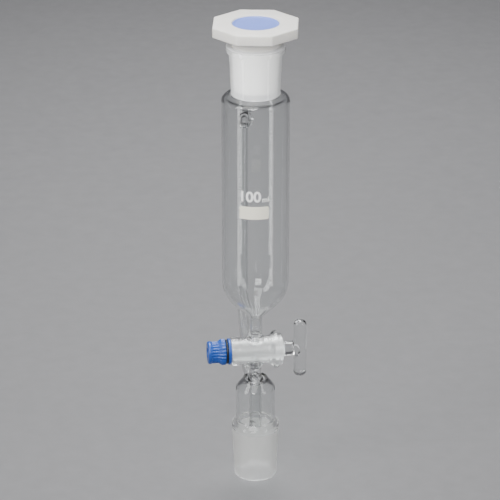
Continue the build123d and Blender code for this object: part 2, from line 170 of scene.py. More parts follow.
class StopcockSizes(bpy.types.PropertyGroup):
    """Sizes of the stopcock's barrel, key, washer, ring and nut."""

    barrel_radius: length("Barrel radius", 8.5, "Outer radius of the barrel")
    rim_radius: length("Barrel rim radius", 8.9, "Radius of the barrel's narrow end")
    rim_length: length("Barrel rim length", 4.5, "Length of the narrow end's rim")
    collar_offset: length("Collar offset", 8.6, "Middle of the collar from the bowl's axis")
    collar_width: length("Collar width", 1.6, "Width of the barrel's collar")
    collar_radius: length("Collar radius", 9.2, "Radius of the barrel's collar")
    flange_offset: length("Flange offset", 11, "Near side of the flange from the bowl's axis")
    flange_width: length("Flange width", 3, "Width of the flange")
    flange_end: length("Flange end radius", 9.9, "Radius of the barrel's wide end")
    bore_large: length("Bore radius", 7.25, "Radius of the bore at the wide end")
    ground_gap: length("Ground gap", 0.05, "Clearance between the key and the bore")
    port_radius: length("Port radius", 2, "Radius of the barrel's ports")
    key_port: length("Key port radius", 1.25, "Radius of the hole through the key")
    stem_radius: length("Stem radius", 4.4, "Radius of the key's stem")
    thread_core: length("Thread core radius", 2.4, "Radius of the key's end below its thread")
    thread_crest: length("Thread crest radius", 2.85, "Radius of the key's end over its thread")
    thread_runout: length("Thread runout", 4.0, "Plain stretch between the thread and the plug")
    plug_end_gap: length("Plug end gap", 0.5, "From each end of the barrel to the ground plug")
    thread_pitch: length("Thread pitch", 2, "Travel of the nut for each turn")
    nut_waist: length("Nut waist radius", 6.8, "Radius of the nut's waist")
    nut_rim: length("Nut rim radius", 7.1, "Radius of the nut's end rim")
    nut_rim_width: length("Nut rim width", 2.0, "Width of the nut's end rim")
    nut_bore: length("Nut bore radius", 3.0, "Radius of the nut's bore")
    rib_depth: length("Rib depth", 0.45, "Depth of the grooves between the nut's ribs")
    rib_count: IntProperty(name="Ribs", description="Ribs around the nut", default=22)


class StopperSizes(bpy.types.PropertyGroup):
    """Sizes of the plastic stopper."""

    head_flats: length("Head across flats", 50.5, "Width of the octagonal head")
    head_height: length("Head height", 6.5, "Thickness of the octagonal head")
    head_turn: angle("Head turn", -10, "Turn of the head about the funnel's axis")
    head_bevel: length("Head bevel", 0.9, "Rounding of the head's edges")
    wall: length("Stopper wall", 1.6, "Wall of the hollow plug")
    ground_gap: length("Plug gap", 0.05, "Clearance between the plug and the socket")
    foot_bend: length("Foot bend", 1.2, "Rounding of the plug's closed end")


class PrintSizes(bpy.types.PropertyGroup):
    """The fired enamel marks on the bowl's front."""

    number: StringProperty(name="Number", description="Nominal capacity", default="100")
    unit: StringProperty(name="Unit", description="Unit of the capacity", default="ml")
    turn: angle("Print turn", -10.5, "Turn of the marks from the front of the bowl")
    panel_width: length("Panel width", 18.2, "Width of the writing panel")
    panel_height: length("Panel height", 8.2, "Height of the writing panel")
    panel_corner: length("Panel corner", 1.1, "Rounding of the panel's corners")
    panel_drop: length("Panel drop", 67.2, "Middle of the panel below the bowl's upper knee")
    number_rise: length("Number rise", 10.5, "Middle of the number above the panel's middle")
    number_height: length("Number height", 7.0, "Height of the digits")
    unit_height: length("Unit height", 3.3, "Height of the unit's letters")
    number_offset: length("Number offset", 1.9, "Middle of the number left of the panel's middle")
    unit_offset: length("Unit offset", 7.0, "Middle of the unit right of the panel's middle")
    stroke: plain_number("Letter weight", 0.028, "Thickening of the letters, as a share of their size")
    film: length("Enamel film", 0.06, "Thickness of the fired enamel")


class Finishes(bpy.types.PropertyGroup):
    """Colours of the finishes."""

    glass: colour("Glass", (0.945, 0.955, 0.955), "Tint of the clear glass")
    ground: colour("Ground glass", (0.58, 0.57, 0.55), "Colour of the ground surfaces")
    socket: colour("Ground socket", (0.85, 0.85, 0.86), "Colour of the socket's ground bore")
    enamel: colour("Enamel", (0.95, 0.95, 0.92), "Colour of the fired enamel")
    panel: colour("Panel", (0.93, 0.9, 0.76), "Colour of the writing panel")
    nut: colour("Nut", (0.006, 0.062, 0.33), "Colour of the nut and the washer")
    ring: colour("O-ring", (0.012, 0.012, 0.014), "Colour of the o-ring")
    stopper: colour("Stopper", (0.84, 0.82, 0.78), "Colour of the stopper")
    disc: colour("Disc", (0.16, 0.25, 0.75), "Colour of the stopper's disc")
    floor: colour("Floor", (0.155, 0.155, 0.16), "Colour of the floor")


class StageSizes(bpy.types.PropertyGroup):
    """Camera, lights and floor."""

    azimuth: angle("Camera azimuth", 8, "Turn of the camera to the left of the front")
    distance: length("Camera distance", 1500.7, "From the funnel's axis, measured level")
    height: length("Camera height", 793.6, "Above the floor")
    pitch: angle("Camera pitch", 23.13, "Downward tilt of the camera")
    swing: angle("Camera swing", 0.129, "Small turn that sets the funnel beside the centre line")
    lens: plain_number("Lens", 192.1, "Focal length in millimetres")
    floor_half: length("Floor", 3000, "Half the width of the floor")
    back_power: power("Back softbox", 9)
    left_power: power("Left softbox", 7)
    right_power: power("Right softbox", 3)
    top_power: power("Top softbox", 4)
    front_power: power("Front softbox", 20)
    strip_reach: length("Strip reach", 320, "From the funnel's axis to the glowing strips")
    strip_height: length("Strip height", 620, "Height of the glowing strips")
    strip_glow: plain_number("Strip glow", 6, "Brightness of the left strip")
    strip_dim: plain_number("Strip dimming", 0.7, "Right strip's share of the left one's brightness")
    world: plain_number("Surroundings", 0.2, "Brightness of the surroundings")


GROUPS = {
    "funnel_glass": GlassSizes,
    "funnel_stopcock": StopcockSizes,
    "funnel_stopper": StopperSizes,
    "funnel_print": PrintSizes,
    "funnel_finishes": Finishes,
    "funnel_stage": StageSizes,
}


def sizes(name):
    """One of the scene's property groups."""
    return getattr(bpy.context.scene, name)


# ---- mesh making ----


def rounded(corners, closed=False, arc_steps=8):
    """Points of an outline whose corners (across, up, bend) are rounded by tangent arcs."""
    points = []
    count = len(corners)
    for index, corner in enumerate(corners):
        here = Vector(corner[:2])
        bend = corner[2] if len(corner) > 2 else 0
        at_end = not closed and index in (0, count - 1)
        if bend <= 0 or at_end:
            points.append(here)
            continue
        before = (Vector(corners[index - 1][:2]) - here).normalized()
        after = (Vector(corners[(index + 1) % count][:2]) - here).normalized()
        half = before.angle(after) / 2
        centre = here + (before + after).normalized() * (bend / sin(half))
        start = here + before * (bend / tan(half)) - centre
        sweep = (here + after * (bend / tan(half)) - centre).angle_signed(start)
        for step in range(arc_steps + 1):
            turn = Matrix.Rotation(sweep * step / arc_steps, 2)
            points.append(centre + turn @ start)
    return points


def resampled(points, longest, closed=False):
    """The same outline with its long runs cut into steps, so that joins stay smooth."""
    ends = points[1:] + points[:1] if closed else points[1:]
    result = []
    for start, end in zip(points, ends):
        steps = max(1, ceil((end - start).length / longest))
        result += [start.lerp(end, step / steps) for step in range(steps)]
    return result if closed else result + [points[-1]]


def turned(outline, closed, along="Z", centre_z=0.0, steps=TURN_STEPS):
    """A bmesh spun from an outline of (radius, height), or of (place along X, radius)."""
    bm = bmesh.new()
    if along == "Z":
        verts = [bm.verts.new((point[0], 0, point[1])) for point in outline]
        axis, centre = (0, 0, 1), (0, 0, 0)
    else:
        verts = [bm.verts.new((point[0], 0, centre_z + point[1])) for point in outline]
        axis, centre = (1, 0, 0), (0, 0, centre_z)
    pairs = list(zip(verts, verts[1:]))
    if closed:
        pairs.append((verts[-1], verts[0]))
    edges = [bm.edges.new(pair) for pair in pairs]
    bmesh.ops.spin(
        bm,
        geom=verts + edges,
        cent=centre,
        axis=axis,
        dvec=(0, 0, 0),
        angle=2 * pi,
        steps=steps,
        use_merge=True,
    )
    bmesh.ops.remove_doubles(bm, verts=bm.verts, dist=SAME_POINT)
    bmesh.ops.recalc_face_normals(bm, faces=bm.faces)
    return bm


def as_object(bm, name):
    """A new object that holds the bmesh, with its place in its mesh."""
    mesh = bpy.data.meshes.new(name)
    bm.to_mesh(mesh)
    bm.free()
    piece = bpy.data.objects.new(name, mesh)
    bpy.context.scene.collection.objects.link(piece)
    return piece


def flat_face(corners):
    """A bmesh of one flat face."""
    bm = bmesh.new()
    bm.faces.new([bm.verts.new(corner) for corner in corners])
    return bm


def from_curve(curve, name):
    """A bmesh of the surface of a curve or a text, whose own object is taken away again."""
    holder = bpy.data.objects.new(name, curve)
    bpy.context.scene.collection.objects.link(holder)
    bpy.context.view_layer.update()
    bm = bmesh.new()
    bm.from_mesh(holder.to_mesh())
    holder.to_mesh_clear()
    bpy.data.objects.remove(holder)
    return bm


def stood(bm, direction, place):
    """The bmesh with its +Z turned to a direction and its origin moved to a place."""
    turn = Vector(direction).to_track_quat("Z", "Y").to_matrix().to_4x4()
    bmesh.ops.transform(bm, matrix=Matrix.Translation(place) @ turn, verts=bm.verts)
    return bm


def bent_rod(path, radius, name):
    """A closed round rod along a path of points."""
    curve = bpy.data.curves.new(name, "CURVE")
    curve.dimensions = "3D"
    curve.bevel_depth = radius
    curve.bevel_resolution = 10
    curve.use_fill_caps = True
    spline = curve.splines.new("POLY")
    spline.points.add(len(path) - 1)
    for point, place in zip(spline.points, path):
        point.co = (*place, 1)
    bm = from_curve(curve, name)
    bmesh.ops.remove_doubles(bm, verts=bm.verts, dist=SAME_POINT)
    bmesh.ops.recalc_face_normals(bm, faces=bm.faces)
    return bm


def round_rod(start, end, radius):
    """A closed straight rod between two points."""
    bm = bmesh.new()
    span = end - start
    bmesh.ops.create_cone(
        bm, cap_ends=True, segments=ROD_STEPS, radius1=radius, radius2=radius, depth=span.length
    )
    return stood(bm, span, (start + end) / 2)


def fused(base, added, cut, name):
    """Joins closed bmeshes into one closed skin and takes the cutters out of it."""
    piece = as_object(base, name)
    for operation, group in (("UNION", added), ("DIFFERENCE", cut)):
        for index, bm in enumerate(group):
            tool = as_object(bm, f"{name}_tool_{index}")
            step = piece.modifiers.new("join", "BOOLEAN")
            step.operation = operation
            step.solver = "EXACT"
            step.object = tool
            graph = bpy.context.evaluated_depsgraph_get()
            mesh = bpy.data.meshes.new_from_object(piece.evaluated_get(graph))
            piece.modifiers.clear()
            piece.data = mesh
            bpy.data.objects.remove(tool)
    return piece


def finish_piece(piece, body, material, nodes=(), sharp=35.0):
    """Shades a piece, gives it its material, ties it to its body and hides the frame's nodes that it stands
    in for.
    """
    bm = bmesh.new()
    bm.from_mesh(piece.data)
    bmesh.ops.remove_doubles(bm, verts=bm.verts, dist=SAME_SKIN_POINT)
    bmesh.ops.dissolve_degenerate(bm, dist=SAME_SKIN_POINT / 2, edges=bm.edges)
    for face in bm.faces:
        face.smooth = True
    for edge in bm.edges:
        edge.smooth = len(edge.link_faces) == 2 and edge.calc_face_angle(pi) < radians(sharp)
    bm.to_mesh(piece.data)
    bm.free()
    piece.data.materials.clear()
    piece.data.materials.append(material)
    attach(piece, body)
    if nodes:
        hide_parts(*nodes)
    return piece


# ---- shader expressions ----

# colour sockets of a Mix node, whose names are shared by its other data types
MIX_FACTOR, MIX_FIRST, MIX_SECOND, MIX_RESULT = 0, 6, 7, 2


class Signal:
    """A shader socket on which arithmetic adds Math nodes."""

    def __init__(self, maker, socket):
        self.maker = maker
        self.socket = socket

    def _math(self, operation, *values):
        return self.maker.node("ShaderNodeMath", {"operation": operation}, dict(enumerate(values)))

    def __add__(self, other):
        return self._math("ADD", self, other)

    def __radd__(self, other):
        return self._math("ADD", other, self)

    def __sub__(self, other):
        return self._math("SUBTRACT", self, other)

    def __rsub__(self, other):
        return self._math("SUBTRACT", other, self)

    def __mul__(self, other):
        return self._math("MULTIPLY", self, other)

    def __rmul__(self, other):
        return self._math("MULTIPLY", other, self)

    def root(self):
        """Its square root."""
        return self._math("SQRT", self)

    def size(self):
        """Its absolute value."""
        return self._math("ABSOLUTE", self)


class Finish:
    """A new material and the nodes in it."""

    def __init__(self, name):
        self.material = bpy.data.materials.new(name)
        self.material.use_nodes = True
        self.tree = self.material.node_tree
        self.tree.nodes.clear()

    def node(self, kind, settings=None, values=None, out=0):
        """Adds a node: its settings first, then values or links for its sockets."""
        made = self.tree.nodes.new(kind)
        for key, value in (settings or {}).items():
            setattr(made, key, value)
        for key, value in (values or {}).items():
            if isinstance(value, Signal):
                self.tree.links.new(value.socket, made.inputs[key])
            else:
                made.inputs[key].default_value = value
        return Signal(self, made.outputs[out])

    def place(self):
        """Object coordinates as three signals."""
        where = self.node("ShaderNodeTexCoord", out="Object")
        made = self.node("ShaderNodeSeparateXYZ", values={0: where}).socket.node
        return [Signal(self, made.outputs[axis]) for axis in range(3)]

    def noise(self, scale, detail=3.0, rough=0.55):
        """Fractal noise on object coordinates, from 0 to 1."""
        where = self.node("ShaderNodeTexCoord", out="Object")
        values = {"Vector": where, "Scale": scale, "Detail": detail, "Roughness": rough}
        return self.node("ShaderNodeTexNoise", {"noise_dimensions": "3D"}, values)

    def step(self, signal, low, high):
        """Rises smoothly from 0 to 1 as the signal goes from low to high."""
        values = {"Value": signal, "From Min": low, "From Max": high, "To Min": 0.0, "To Max": 1.0}
        return self.node("ShaderNodeMapRange", {"interpolation_type": "SMOOTHSTEP"}, values)

    def blend(self, factor, first, second):
        """A mix of two colours."""
        sockets = {MIX_FACTOR: factor, MIX_FIRST: first, MIX_SECOND: second}
        return self.node("ShaderNodeMix", {"data_type": "RGBA"}, sockets, MIX_RESULT)

    def bump(self, height, strength, distance):
        """A normal tilted by a height signal."""
        values = {"Strength": strength, "Distance": distance, "Height": height}
        return self.node("ShaderNodeBump", values=values, out="Normal")

    def principled(self, **values):
        """A Principled shader."""
        named = {key.replace("_", " "): value for key, value in values.items()}
        return self.node("ShaderNodeBsdfPrincipled", values=named)

    def output(self, shader):
        """Ends the material with this shader."""
        end = self.tree.nodes.new("ShaderNodeOutputMaterial")
        self.tree.links.new(shader.socket, end.inputs["Surface"])
        return self.material


def opaque(rgb):
    """A colour with full alpha."""
    return (*rgb, 1.0)


def shade(rgb, share):
    """The colour made darker or lighter by a share."""
    return tuple(min(1.0, channel * share) for channel in rgb)


def glass_finish(name, zones_of):
    """Clear glass with frosted zones, each a (mask, share of frost, colour of frost)."""
    finishes = sizes("funnel_finishes")
    refraction = 1.474
    made = Finish(name)
    waves = made.noise(55.0, 2.0)
    grain = made.noise(5200.0, 2.0)
    ground, share = 0.0, 0.0
    frost_colour = opaque(finishes.ground)
    for mask, amount, rgb in zones_of(made):
        ground = mask + ground
        share = mask * amount + share
        frost_colour = made.blend(mask, frost_colour, opaque(rgb))
    normal = made.bump(waves * (1 - ground) + grain * ground * 0.35, 0.12, 0.0004)
    clear = made.principled(
        Base_Color=opaque(finishes.glass),
        Roughness=ground * (0.3 + grain * 0.12),
        IOR=refraction,
        Transmission_Weight=1.0,
        Normal=normal,
    )
    frost = made.principled(Base_Color=frost_colour, Roughness=0.7, IOR=refraction, Normal=normal)
    uneven = share * (0.9 + grain * 0.2)
    body = made.node("ShaderNodeMixShader", values={0: uneven, 1: clear, 2: frost})
    lamp_ray = made.node("ShaderNodeLightPath", out="Is Shadow Ray")
    through = made.node("ShaderNodeBsdfTransparent", values={"Color": opaque((0.88, 0.89, 0.89))})
    lit = made.node("ShaderNodeMixShader", values={0: lamp_ray, 1: body, 2: through})
    return made.output(lit)


def bore_mask(made, place, outer):
    """Mask of the stopcock's ground surfaces: the barrel's bore, or the key's plug."""
    glass, stopcock = sizes("funnel_glass"), sizes("funnel_stopcock")
    x, y, z = place
    up = z - STOPCOCK_Z
    from_axis = (y * y + up * up).root()
    plug_line = stopcock.bore_large - (BARREL_HIGH.x - x) * glass.joint_taper
    if outer:
        on_face = made.step(from_axis - plug_line, -0.4 * MM, -0.2 * MM)
    else:
        on_face = made.step(from_axis - plug_line, 0.35 * MM, 0.12 * MM)
    return on_face * made.step(x.size(), BARREL_HIGH.x + 0.5 * MM, BARREL_HIGH.x - 0.2 * MM)


def body_zones(made):
    """The glass body's ground faces: the cone's outside, the socket's bore and lip, the barrel's bore."""
    glass, finishes = sizes("funnel_glass"), sizes("funnel_finishes")
    place = made.place()
    x, y, z = place
    reach = (x * x + y * y).root()
    taper_line = glass.joint_large - glass.joint_length * glass.joint_taper + z * glass.joint_taper
    on_cone = made.step(reach - taper_line, -0.6 * MM, -0.3 * MM)
    on_cone = on_cone * made.step(z, glass.joint_length + 0.4 * MM, glass.joint_length - 0.6 * MM)
    mouth = SOCKET_HIGH.z
    bore_line = glass.joint_large - (mouth - z) * glass.joint_taper
    in_bore = made.step(reach - bore_line, 0.6 * MM, 0.25 * MM)
    ground_low = mouth - glass.joint_length
    in_socket = in_bore * made.step(z, ground_low - 0.3 * MM, ground_low + 0.5 * MM)
    at_lip = made.step(z, mouth - 1.4 * MM, mouth - 0.6 * MM) * (1 - in_bore)
    return (
        (bore_mask(made, place, outer=False), 0.03, finishes.ground),
        (on_cone, 0.32, finishes.ground),
        (in_socket, 0.6, finishes.socket),
        (at_lip, 0.6, finishes.socket),
    )


def key_zones(made):
    """The key's ground plug."""
    return ((bore_mask(made, made.place(), outer=True), 0.04, sizes("funnel_finishes").ground),)


def moulded_finish(name, rgb, roughness, grain_size, depth, waxy=0.0):
    """A matt or moulded surface with a fine grain and slight changes of shade."""
    made = Finish(name)
    patches = made.noise(90.0, 4.0)
    grain = made.noise(grain_size, 3.0)
    values = {
        "Base_Color": made.blend(patches, opaque(shade(rgb, 0.88)), opaque(shade(rgb, 1.08))),
        "Roughness": roughness + (grain - 0.5) * 0.16,
        "Normal": made.bump(grain, 0.25, depth),
        "IOR": 1.5,
        "Subsurface_Weight": waxy,
        "Subsurface_Radius": (0.004, 0.004, 0.003),
        "Subsurface_Scale": 0.6,
    }
    return made.output(made.principled(**values))


# ---- glass body ----

GLASS_NODES = (
    "lower_cone",
    "drip_chamber",
    "drip_tube",
    "stopcock_barrel",
    "drain_neck",
    "bowl",
    "top_socket",
    "equalising_arm",
)


def lower_glass(glass):
    """Cone, bead, chamber, ring seal and drip tube as one closed turned wall."""
    tube = DRIP_HIGH.x
    tube_bore = tube - glass.tube_wall
    small = glass.joint_large - glass.joint_length * glass.joint_taper
    rim_z = CHAMBER_HIGH.z
    dish_z = rim_z - glass.seal_dish
    seal_z = rim_z - glass.seal_height
    knee_z = seal_z - glass.chamber_shoulder
    foot_z = CONE_HIGH.z
    wall_z = foot_z + glass.chamber_foot
    inner = glass.chamber_radius - glass.chamber_wall
    under_z = dish_z - glass.seal_thickness
    bead = CONE_HIGH.x
    polish = glass.polish
    outline = [
        (tube, STOPCOCK_Z),
        (tube, dish_z + 0.2 * MM, 2.0 * MM),
        (tube + 2.3 * MM, dish_z, 0.8 * MM),
        (glass.seal_radius - 0.8 * MM, rim_z, 0.7 * MM),
        (glass.seal_radius, seal_z, 0.9 * MM),
        (glass.chamber_radius, knee_z, 3.0 * MM),
        (glass.chamber_radius, wall_z, 1.6 * MM),
        (bead, foot_z + 0.9 * MM, 1.1 * MM),
        (bead, glass.joint_length + 0.6 * MM, 0.9 * MM),
        (glass.joint_large, glass.joint_length - 0.2 * MM, 0.3 * MM),
        (small, 0, polish),
        (small - glass.joint_wall, 0, polish),
        (glass.joint_large - glass.joint_wall, glass.joint_length + 1.2 * MM, 2.5 * MM),
        (inner, wall_z + 1.0 * MM, 3.0 * MM),
        (inner, knee_z - 0.4 * MM, 2.2 * MM),
        (glass.seal_radius - glass.chamber_wall, under_z, 1.0 * MM),
        (tube + 0.4 * MM, under_z - 0.3 * MM, 0.5 * MM),
        (tube, under_z - 2.0 * MM, 0.8 * MM),
        (tube, DRIP_LOW.z, 0.3 * MM),
        (tube_bore, DRIP_LOW.z, 0.3 * MM),
        (tube_bore, STOPCOCK_Z),
    ]
    bm = turned(resampled(rounded(outline, closed=True), 2.5 * MM, closed=True), closed=True)
    slope = tan(glass.tip_bevel)
    for vert in bm.verts:
        if hypot(vert.co.x, vert.co.y) < tube + 0.1 * MM and vert.co.z < DRIP_LOW.z + 0.5 * MM:
            vert.co.z += (tube - vert.co.x) * slope
    return bm


def upper_glass(glass):
    """Drain neck, bowl, shoulder and beaded socket as one closed turned wall."""
    neck = NECK_HIGH.x
    neck_bore = neck - glass.neck_wall
    apex = BOWL_LOW.z + glass.foot_height
    wall = glass.bowl_wall
    inner = BOWL_RADIUS - wall
    lower_knee = apex + BOWL_RADIUS - neck
    upper_knee = SOCKET_LOW.z - glass.upper_knee
    slope_top = upper_knee + glass.shoulder_slope
    mouth = SOCKET_HIGH.z
    small = glass.joint_large - glass.joint_length * glass.joint_taper
    outside = glass.joint_large - (mouth - SOCKET_LOW.z) * glass.joint_taper + wall
    lip = SOCKET_HIGH.x
    slant = wall * tan(pi / 8)
    outline = [
        (neck, STOPCOCK_Z),
        (neck, apex, glass.foot_bend),
        (BOWL_RADIUS, lower_knee, glass.base_bend),
        (BOWL_RADIUS, upper_knee, glass.shoulder_bend),
        (outside, slope_top, 1.4 * MM),
        (outside, SOCKET_LOW.z),
        (glass.joint_large + glass.lip_wall, mouth - glass.lip_height, 0.9 * MM),
        (lip, mouth - glass.lip_height + 0.3 * MM, 1.2 * MM),
        (lip, mouth, 1.8 * MM),
        (glass.joint_large, mouth, glass.polish),
        (small, mouth - glass.joint_length, 1.0 * MM),
        (inner, upper_knee - wall * 0.75, 1.9 * MM),
        (inner, lower_knee + slant, glass.base_bend - wall),
        (neck_bore, apex + wall - glass.neck_wall + slant, glass.foot_bend + wall),
        (neck_bore, STOPCOCK_Z),
    ]
    points = resampled(rounded(outline, closed=True, arc_steps=12), 4 * MM, closed=True)
    return turned(points, closed=True)


def barrel_glass(glass, stopcock):
    """The stopcock's barrel, still solid, turned about its own axis."""
    near, far = BARREL_LOW.x, BARREL_HIGH.x
    rim_end = near + stopcock.rim_length
    half = stopcock.collar_width / 2
    collar_near = stopcock.collar_offset - half
    collar_far = stopcock.collar_offset + half
    flange = BARREL_HIGH.y
    flange_far = stopcock.flange_offset + stopcock.flange_width
    outline = [
        (near, 0),
        (near, stopcock.rim_radius, 0.8 * MM),
        (rim_end - 0.4 * MM, stopcock.rim_radius, 1.0 * MM),
        (rim_end + 1.0 * MM, stopcock.barrel_radius, 1.0 * MM),
        (collar_near - 0.7 * MM, stopcock.barrel_radius, 0.5 * MM),
        (collar_near + 0.2 * MM, stopcock.collar_radius, 0.4 * MM),
        (collar_far - 0.3 * MM, stopcock.collar_radius - 0.2 * MM, 0.6 * MM),
        (stopcock.flange_offset + 0.2 * MM, flange - 0.3 * MM, 0.8 * MM),
        (flange_far - 0.6 * MM, flange, 0.7 * MM),
        (flange_far + 0.3 * MM, flange - 1.6 * MM, 0.8 * MM),
        (far, stopcock.flange_end, 0.8 * MM),
        (far, 0),
    ]
    points = resampled(rounded(outline, arc_steps=6), 2 * MM)
    return turned(points, closed=False, along="X", centre_z=STOPCOCK_Z)


def arm_path(glass):
    """The arm's centre line behind the bowl, as (across, up) points from its port to its seat."""
    seal_z = CHAMBER_HIGH.z - glass.seal_height
    narrowing = glass.chamber_radius - glass.seal_radius
    slope = atan2(glass.chamber_shoulder, narrowing)
    seat = Vector((glass.seal_radius + narrowing / 2, seal_z - glass.chamber_shoulder / 2))
    outward = Vector((sin(slope), cos(slope)))
    foot = seat + outward * glass.arm_foot
    away = BOWL_RADIUS + glass.arm_standoff + glass.arm_radius
    port_z = SOCKET_LOW.z - glass.upper_knee - glass.arm_port_drop
    lower_knee = BOWL_LOW.z + glass.foot_height + BOWL_RADIUS - NECK_HIGH.x
    corners = [
        (BOWL_RADIUS - glass.bowl_wall * 0.6, port_z),
        (away, port_z, glass.arm_top_bend),
        (away, lower_knee - glass.arm_lean_drop, glass.arm_lean_bend),
        (*foot, glass.arm_foot_bend),
        tuple(seat - outward * glass.chamber_wall * 0.6),
    ]
    turn = Matrix.Rotation(glass.arm_turn, 3, "Z")
    return [turn @ Vector((0, *point)) for point in rounded(corners, arc_steps=14)]


def drawn_out(path, reach):
    """The same path with both ends moved out along their own directions."""
    first = path[0] + (path[0] - path[1]).normalized() * reach
    last = path[-1] + (path[-1] - path[-2]).normalized() * reach
    return [first, *path[1:-1], last]


def weld(place, direction, radius, spread, depth):
    """The melted collar where a tube of this radius leaves a wall at a place, as a closed solid."""
    outline = [
        (0, -depth),
        (radius + spread, -depth),
        (radius + spread * 0.62, spread * 0.12, spread * 0.6),
        (radius + spread * 0.06, spread * 0.9, spread * 0.6),
        (radius - 0.02 * MM, spread * 1.6),
        (0, spread * 1.6),
    ]
    return stood(turned(rounded(outline), closed=False, steps=WELD_STEPS), direction, place)


class FUNNEL_OT_glass_body(bpy.types.Operator):
    """Blows the one-piece glass body: socket, bowl, neck, barrel, drip tube, chamber, cone and arm"""

    bl_idname = "funnel.glass_body"
    bl_label = "Glass Body"

    def execute(self, context):
        glass, stopcock = sizes("funnel_glass"), sizes("funnel_stopcock")
        path = arm_path(glass)
        seat_direction = (path[-2] - path[-1]).normalized()
        seat = path[-1] + seat_direction * glass.chamber_wall * 0.6
        port_direction = (path[1] - path[0]).normalized()
        port = port_direction * BOWL_RADIUS + Vector((0, 0, path[0].z))
        top = Vector((0, 0, STOPCOCK_Z + stopcock.barrel_radius))
        bottom = Vector((0, 0, STOPCOCK_Z - stopcock.barrel_radius))
        added = [
            upper_glass(glass),
            lower_glass(glass),
            bent_rod(path, glass.arm_radius, "arm"),
            weld(port, port_direction, glass.arm_radius, glass.port_weld, 1.3 * MM),
            weld(seat, seat_direction, glass.arm_radius, glass.seat_weld, 0.9 * MM),
            weld(top, (0, 0, 1), NECK_HIGH.x, glass.neck_weld, 3 * MM),
            weld(bottom, (0, 0, -1), DRIP_HIGH.x, glass.neck_weld, 3 * MM),
        ]
        past = 2 * MM
        near, far = BARREL_LOW.x - past, BARREL_HIGH.x + past
        at_far = stopcock.bore_large + past * glass.joint_taper
        at_near = at_far - (far - near) * glass.joint_taper
        bore_ends = [(near, at_near), (far, at_far)]
        cut = [
            bent_rod(drawn_out(path, 2.4 * MM), glass.arm_radius - glass.tube_wall, "arm_bore"),
            turned([(near, 0), *bore_ends, (far, 0)], closed=False, along="X", centre_z=STOPCOCK_Z),
            round_rod(bottom * 0.97, top * 1.03, stopcock.port_radius),
        ]
        piece = fused(barrel_glass(glass, stopcock), added, cut, "glass_body")
        clear = glass_finish("clear_glass", body_zones)
        finish_piece(piece, "glassware", clear, GLASS_NODES)
        return {"FINISHED"}


# ---- stopcock ----


def helix_ridge(stopcock, low_x, high_x):
    """The rounded thread on the key's end, as a closed coil about the stopcock's axis."""
    pitch = stopcock.thread_pitch
    crest = stopcock.thread_crest
    half = pitch * 0.36
    root = stopcock.thread_core - 0.15 * MM
    crest_bend = half * 0.3
    corners = [
        (-half, root),
        (-half * 0.5, crest, crest_bend),
        (half * 0.5, crest, crest_bend),
        (half, root),
    ]
    profile = rounded(corners, arc_steps=4)
    start = low_x + half
    turns = (high_x - half - start) / pitch
    steps = ceil(turns * THREAD_STEPS)
    bm = bmesh.new()
    verts = [bm.verts.new((start + point.x, 0, STOPCOCK_Z + point.y)) for point in profile]
    edges = [bm.edges.new(pair) for pair in zip(verts, verts[1:] + verts[:1])]
    bmesh.ops.spin(
        bm,
        geom=verts + edges,
        cent=(0, 0, STOPCOCK_Z),
        axis=(1, 0, 0),
        dvec=(turns * pitch / steps, 0, 0),
        angle=-turns * 2 * pi,
        steps=steps,
    )
    for index, vert in enumerate(bm.verts):
        share = index // len(profile) / steps
        fade = min(1.0, share * turns * 3, (1 - share) * turns * 3)
        up = vert.co.z - STOPCOCK_Z
        radius = hypot(vert.co.y, up)
        pull = (root + (radius - root) * fade) / radius
        vert.co.y *= pull
        vert.co.z = STOPCOCK_Z + up * pull
    bmesh.ops.holes_fill(bm, edges=[edge for edge in bm.edges if edge.is_boundary])
    bmesh.ops.recalc_face_normals(bm, faces=bm.faces)
    return bm


